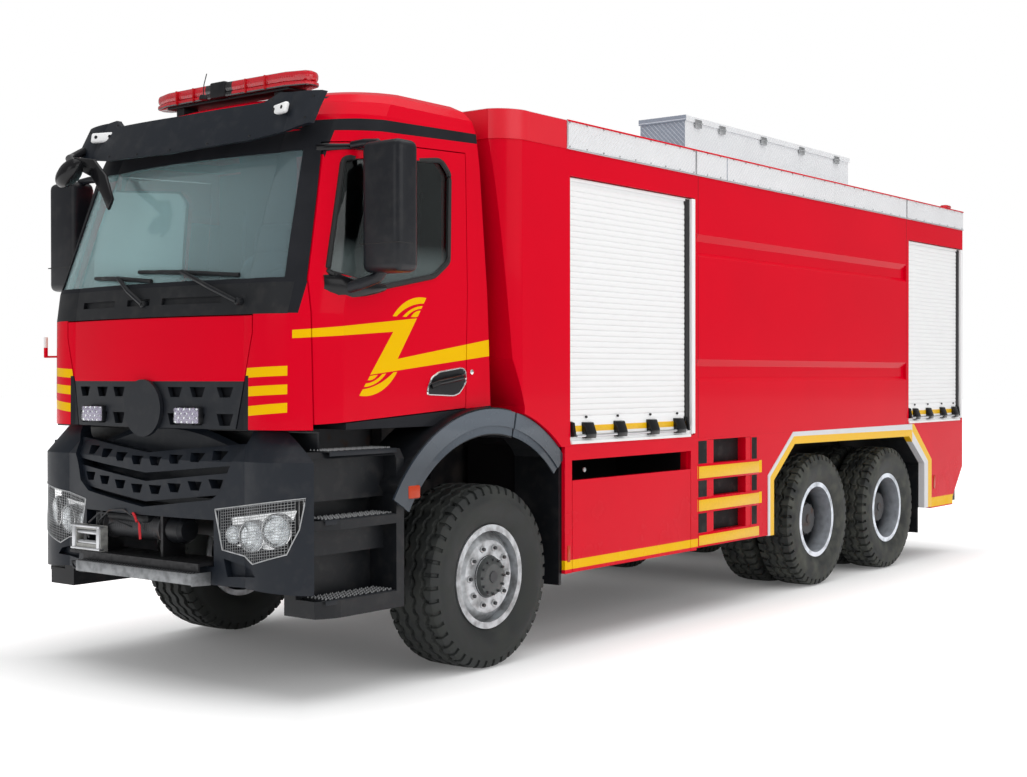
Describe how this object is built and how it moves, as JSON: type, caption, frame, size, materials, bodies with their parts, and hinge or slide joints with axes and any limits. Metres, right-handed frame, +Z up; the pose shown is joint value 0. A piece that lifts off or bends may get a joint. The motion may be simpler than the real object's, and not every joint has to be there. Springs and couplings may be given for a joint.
{
  "type": "water tanker fire truck",
  "caption": "Three-axle water tanker fire truck: day cab, winch bumper, twin rear axles and a closed body with roller shutters, fold-down flaps and a roof box.",
  "frame": {"origin": "on the ground, under the middle of the overall length and width", "axes": "+X forward, +Y to the truck's left, +Z up"},
  "size_m": [8.76, 2.94, 3.5753],
  "materials": {
    "red_paint": "gloss fire red paint",
    "white_trim": "white gloss paint",
    "shutter_white": "white coated aluminium slats",
    "chassis_black": "satin black paint",
    "dark_plastic": "grained dark grey plastic",
    "grey_plastic": "grained graphite grey plastic",
    "black_plastic": "grained black plastic",
    "cast_iron": "painted casting",
    "lamp_glass": "clear lamp cover",
    "tinted_glass": "green tinted glass",
    "red_lens": "translucent red lens",
    "wheel_silver": "silver wheel paint",
    "tyre_rubber": "black rubber",
    "aluminium": "satin",
    "treadplate": "diamond treadplate",
    "seat_fabric": "dark woven cloth",
    "winch_steel": "zinc plated"
  },
  "bodies": {
    "root": {"arch_trims": "white_trim", "body_shell": "red_paint", "cab_shell": "red_paint", "chassis_frame": "chassis_black", "dashboard": "dark_plastic", "engine_block": "cast_iron", "front_axle": "cast_iron", "front_bumper": "grey_plastic", "headlamps": "lamp_glass", "light_bar": "red_lens", "locker_shutters": "shutter_white", "lower_lockers": "red_paint", "mudguards": "black_plastic", "rear_axles": "cast_iron", "rear_ladder": "aluminium", "rear_underrun": "chassis_black", "roof_deck": "treadplate", "rung_ladders": "aluminium", "seats": "seat_fabric", "side_skirts": "red_paint", "sun_visor": "grey_plastic", "winch": "winch_steel", "windscreen": "tinted_glass", "wiper_cowl": "black_plastic"},
    "left_steering": {"left_knuckle": "cast_iron"},
    "right_steering": {"right_knuckle": "cast_iron"},
    "left_front_wheel": {"left_front_tyre": "tyre_rubber", "left_front_rim": "wheel_silver"},
    "right_front_wheel": {"right_front_tyre": "tyre_rubber", "right_front_rim": "wheel_silver"},
    "left_middle_wheels": {"left_middle_tyres": "tyre_rubber", "left_middle_rims": "wheel_silver"},
    "right_middle_wheels": {"right_middle_tyres": "tyre_rubber", "right_middle_rims": "wheel_silver"},
    "left_rear_wheels": {"left_rear_tyres": "tyre_rubber", "left_rear_rims": "wheel_silver"},
    "right_rear_wheels": {"right_rear_tyres": "tyre_rubber", "right_rear_rims": "wheel_silver"},
    "left_cab_door": {"left_door": "red_paint", "left_door_glass": "tinted_glass", "left_mirror": "black_plastic"},
    "right_cab_door": {"right_door": "red_paint", "right_door_glass": "tinted_glass", "right_mirror": "black_plastic"},
    "service_flap": {"bonnet_flap": "red_paint", "grille": "black_plastic"},
    "left_flap": {"left_locker_flap": "red_paint"},
    "right_flap": {"right_locker_flap": "red_paint"},
    "box_lid": {"roof_box_lid": "treadplate"}
  },
  "joints": [
    {"name": "left_steer", "type": "hinge", "parent": "root", "child": "left_steering", "pos_m": [2.82, 0.86, 0.527], "axis": [0, 0, 1], "range_deg": [-38, 38]},
    {"name": "right_steer", "type": "hinge", "parent": "root", "child": "right_steering", "pos_m": [2.82, -0.86, 0.527], "axis": [0, 0, 1], "range_deg": [-38, 38]},
    {"name": "left_front_spin", "type": "hinge", "parent": "left_steering", "child": "left_front_wheel", "pos_m": [2.82, 1.0525, 0.527], "axis": [0, 1, 0], "continuous": true},
    {"name": "right_front_spin", "type": "hinge", "parent": "right_steering", "child": "right_front_wheel", "pos_m": [2.82, -1.0525, 0.527], "axis": [0, 1, 0], "continuous": true},
    {"name": "left_middle_spin", "type": "hinge", "parent": "root", "child": "left_middle_wheels", "pos_m": [-1.38, 0.881, 0.527], "axis": [0, 1, 0], "continuous": true},
    {"name": "left_rear_spin", "type": "hinge", "parent": "root", "child": "left_rear_wheels", "pos_m": [-2.73, 0.881, 0.527], "axis": [0, 1, 0], "continuous": true},
    {"name": "right_middle_spin", "type": "hinge", "parent": "root", "child": "right_middle_wheels", "pos_m": [-1.38, -0.881, 0.527], "axis": [0, 1, 0], "continuous": true},
    {"name": "right_rear_spin", "type": "hinge", "parent": "root", "child": "right_rear_wheels", "pos_m": [-2.73, -0.881, 0.527], "axis": [0, 1, 0], "continuous": true},
    {"name": "left_door_swing", "type": "hinge", "parent": "root", "child": "left_cab_door", "pos_m": [4.094, 1.086, 2], "axis": [0, 0, -1], "range_deg": [0, 70]},
    {"name": "right_door_swing", "type": "hinge", "parent": "root", "child": "right_cab_door", "pos_m": [4.094, -1.086, 2], "axis": [0, 0, 1], "range_deg": [0, 70]},
    {"name": "service_flap_lift", "type": "hinge", "parent": "root", "child": "service_flap", "pos_m": [4.303, 0, 1.993], "axis": [0, -1, 0], "range_deg": [0, 80]},
    {"name": "left_flap_drop", "type": "hinge", "parent": "root", "child": "left_flap", "pos_m": [1.364, 1.25, 0.472], "axis": [-1, 0, 0], "range_deg": [0, 90]},
    {"name": "right_flap_drop", "type": "hinge", "parent": "root", "child": "right_flap", "pos_m": [1.364, -1.25, 0.472], "axis": [1, 0, 0], "range_deg": [0, 90]},
    {"name": "box_lid_lift", "type": "hinge", "parent": "root", "child": "box_lid", "pos_m": [-1.1895, 0.505, 3.5353], "axis": [1, 0, 0], "range_deg": [0, 95]}
  ],
  "couplings": [
    {"joint": "right_steer", "follows": "left_steer", "ratio": 1}
  ]
}
